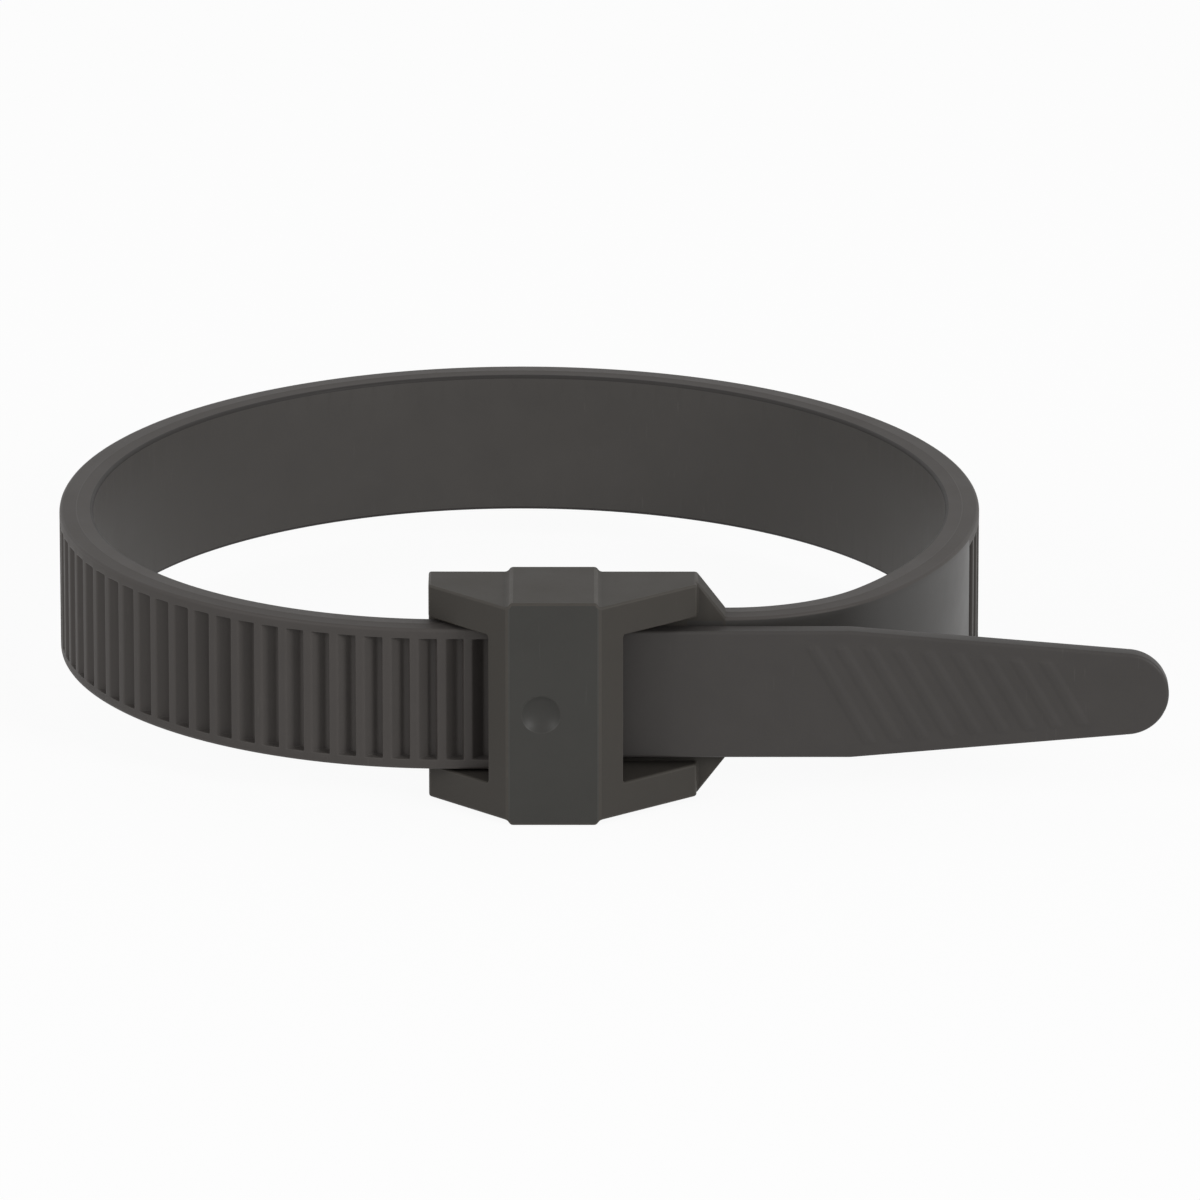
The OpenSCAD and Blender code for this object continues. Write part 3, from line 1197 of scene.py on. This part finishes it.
class Finishes:
    """The moulding's finishes, one for each region. Their colours are lit and shaded copies of one
    nylon, each set for the light that falls on its region: painted light and shade.
    """

    table: dict[Region, MouldedNylon] = {
        # Painted light: lighter than the head's nylon, to make up for the shade in the tooth spaces.
        Region.TOOTHED_BAND_PAINTED_LIGHT: MouldedNylon(
            "nylon_toothed_band_painted_light", (0.0556, 0.05, 0.0465), 0.6, 0.11, 0.004, mottle=0.12, worn_edge_and_sheen_lift=0.1
        ),
        Region.PLAIN_BAND: MouldedNylon(
            "nylon_plain_band",
            (0.042, 0.0398, 0.0375),
            0.36,
            0.16,
            0.0022,
            mottle=0.08,
            worn_edge_and_sheen_lift=0.25,
        ),
        Region.HEAD: MouldedNylon(
            "nylon_head", (0.0418, 0.0377, 0.0325), 0.62, 0.1, 0.0045, mottle=0.12, worn_edge_and_sheen_lift=0.35
        ),
        # Painted shade: a darker, cooler copy of the head's nylon on the bridge's flat front.
        Region.BRIDGE_FRONT_PAINTED_SHADE: MouldedNylon(
            "nylon_bridge_front_painted_shade", (0.039, 0.038, 0.0347), 0.6, 0.1, 0.0045, mottle=0.12, worn_edge_and_sheen_lift=0.35
        ),
        Region.DIMPLE: MouldedNylon(
            "nylon_dimple", (0.0365, 0.0355, 0.0325), 0.46, 0.1, 0.002, mottle=0.08, worn_edge_and_sheen_lift=0.35
        ),
        Region.TAIL: MouldedNylon(
            "nylon_tail", (0.0468, 0.0432, 0.0408), 0.56, 0.12, 0.004, mottle=0.12, worn_edge_and_sheen_lift=0.05
        ),
        # Painted light: lighter than the outer nylon, to make up for the shade inside the loop.
        Region.INNER_BAND_PAINTED_LIGHT: MouldedNylon(
            "nylon_inner_band_painted_light", (0.0585, 0.0545, 0.0508), 0.54, 0.14, 0.003, mottle=0.1, worn_edge_and_sheen_lift=0.2
        ),
        # Painted shade: a dark line along the inner edges, darker than the inner face of the same
        # nylon.
        Region.INNER_EDGE_PAINTED_SHADE: MouldedNylon(
            "nylon_inner_edge_painted_shade", (0.028, 0.0255, 0.024), 0.65, 0.14, 0.003, mottle=0.1, worn_edge_and_sheen_lift=0.0
        ),
    }
    made: dict[Region, bpy.types.Material] = {}

    @classmethod
    def material(cls, region: Region) -> bpy.types.Material:
        """The material of a region, made the first time that it is asked for.

        Args:
            region: The region.

        Returns:
            Its material.
        """
        if region not in cls.made:
            cls.made[region] = cls.table[region].build()
        return cls.made[region]


# the tie


@dataclass
class CableTie:
    """The whole moulding: strap, tail, head and pawl in one closed mesh."""

    route: Route = field(default_factory=Route)
    crease: float = 38.0

    def build(self) -> bpy.types.Object:
        """Makes the parts of the moulding and joins them.

        Returns:
            The finished piece, riding on its body.
        """
        strap = Strap(self.route)
        tie = strap.build()
        log.info("band: %s", tie.facts())
        for label, maker in (("tail", Tail()), ("head", Head()), ("pawl", Pawl())):
            part = maker.build()
            log.info("%s: %s", label, part.facts())
            tie.combine(part, Cut.JOIN)
        tie.obj.name = "cable_tie_moulding"
        tie.obj.data.name = "cable_tie_moulding"
        tie.shade(self.crease)
        tie.mark_wear()
        log.info("moulding: %s", tie.facts())
        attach(tie.obj, BODY)
        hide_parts(NODE)
        return tie.obj


# studio


@dataclass(frozen=True)
class Softbox:
    """A flat lamp that looks at the tie."""

    name: str
    place: tuple[float, float, float]
    size: tuple[float, float]
    level: float
    target: tuple[float, float, float] = (0.005, 0.0, 0.0)

    def build(self) -> bpy.types.Object:
        """Makes the lamp.

        Returns:
            The lamp's object.
        """
        lamp = bpy.data.lights.new(self.name, "AREA")
        lamp.shape = "RECTANGLE"
        lamp.size, lamp.size_y = self.size
        away = np.array(self.target) - np.array(self.place)
        lamp.energy = self.level * math.pi**2 * float(away @ away)
        obj = bpy.data.objects.new(self.name, lamp)
        obj.location = self.place
        aim(obj, self.target)
        bpy.context.scene.collection.objects.link(obj)
        return obj


def aim(obj: bpy.types.Object, target: Sequence[float]) -> None:
    """Turns a lamp to look at a point.

    Args:
        obj: The lamp.
        target: The point.
    """
    away = Vector(target) - obj.location
    obj.rotation_mode = "QUATERNION"
    obj.rotation_quaternion = away.to_track_quat("-Z", "Y")


@dataclass(frozen=True)
class Studio:
    """Pale floor, soft light and the camera at the photograph's angle."""

    floor_z: float = -7.1
    floor_r: float = 2200.0
    floor_corners: int = 128
    floor_white: float = 0.93
    floor_glow: float = 0.93
    elevation: float = 18.37
    distance: float = 908.97
    shift_x: float = -5.018
    shift_z: float = 1.729
    focal_px: float = 14588.0
    frame_px: float = 1200.0
    sensor: float = 36.0
    ambient: float = 0.5
    lamps: tuple[Softbox, ...] = (
        Softbox("left", (-0.5, -0.38, 0.28), (0.3, 0.3), 0.26),
        Softbox("right_front", (0.52, -0.44, 0.27), (0.2, 0.2), 0.4),
    )

    def camera(self) -> None:
        """Sets the camera where the photograph was taken from."""
        tilt = math.radians(self.elevation)
        data = bpy.data.cameras.new("camera")
        data.sensor_width = self.sensor
        data.lens = self.focal_px / self.frame_px * self.sensor
        data.clip_start, data.clip_end = 0.05, 20.0
        obj = bpy.data.objects.new("camera", data)
        back, up = -self.distance, -self.shift_z
        obj.location = (
            -self.shift_x * MM,
            (back * math.cos(tilt) + up * math.sin(tilt)) * MM,
            (-back * math.sin(tilt) + up * math.cos(tilt)) * MM,
        )
        obj.rotation_euler = (math.pi / 2 - tilt, 0.0, 0.0)
        bpy.context.scene.collection.objects.link(obj)
        bpy.context.scene.camera = obj

    def seen_rays(self, tree: bpy.types.NodeTree) -> bpy.types.NodeSocket:
        """Mask of the rays that look straight at the background or see it in a gloss.

        Args:
            tree: The node tree that gets the nodes.

        Returns:
            1 for such a ray, and 0 for one that lights a surface.
        """
        rays = tree.nodes.new("ShaderNodeLightPath").outputs
        seen = Effects.math_node(tree, "MAXIMUM", rays["Is Camera Ray"], rays["Is Glossy Ray"])
        return Effects.math_node(tree, "MAXIMUM", seen, rays["Is Transmission Ray"])

    def world(self) -> None:
        """White surroundings, which light the tie at a plain level."""
        world = bpy.data.worlds.new("white_room")
        bpy.context.scene.world = world
        world.use_nodes = True
        tree = world.node_tree
        sky = tree.nodes["Background"]
        sky.inputs["Color"].default_value = (1.0, 1.0, 1.0, 1.0)
        seen = self.seen_rays(tree)
        level = Effects.math_node(tree, "MULTIPLY", seen, 1.0 - self.ambient)
        level = Effects.math_node(tree, "ADD", level, self.ambient)
        tree.links.new(level, sky.inputs["Strength"])

    def floor(self) -> None:
        """Pale round floor that keeps a soft shadow."""
        around = self.floor_corners
        turn = np.linspace(0, 2 * math.pi, around, endpoint=False)
        mesh = bpy.data.meshes.new("floor")
        rim = np.column_stack([np.cos(turn), np.sin(turn), np.zeros(around)]) * self.floor_r * MM
        rim[:, 2] = self.floor_z * MM
        mesh.from_pydata(rim.tolist(), [], [list(range(around))])
        obj = bpy.data.objects.new("floor", mesh)
        bpy.context.scene.collection.objects.link(obj)
        material = bpy.data.materials.new("white_paper")
        material.use_nodes = True
        tree = material.node_tree
        paper = tree.nodes["Principled BSDF"]
        paper.inputs["Base Color"].default_value = (*[self.floor_white] * 3, 1.0)
        paper.inputs["Roughness"].default_value = 0.9
        paper.inputs["Specular IOR Level"].default_value = 0.0
        glow = tree.nodes.new("ShaderNodeEmission")
        glow.inputs["Strength"].default_value = 1.0
        blend = tree.nodes.new("ShaderNodeMixShader")
        share = Effects.math_node(tree, "MULTIPLY", self.seen_rays(tree), self.floor_glow)
        tree.links.new(share, blend.inputs["Fac"])
        tree.links.new(paper.outputs["BSDF"], blend.inputs[1])
        tree.links.new(glow.outputs["Emission"], blend.inputs[2])
        tree.links.new(blend.outputs["Shader"], tree.nodes["Material Output"].inputs["Surface"])
        mesh.materials.append(material)

    def build(self) -> None:
        """Sets the whole studio up."""
        scene = bpy.context.scene
        scene.view_settings.view_transform = "Standard"
        self.camera()
        self.world()
        self.floor()
        for lamp in self.lamps:
            lamp.build()


def main() -> None:
    """Builds the tie and its studio, and reports each piece."""
    logging.basicConfig(level=logging.INFO, format="%(name)s: %(message)s")
    tie = CableTie().build()
    log.info("built %s with %d faces", tie.name, len(tie.data.polygons))
    Studio().build()
    log.info("built the studio")


if __name__ == "__main__":
    main()
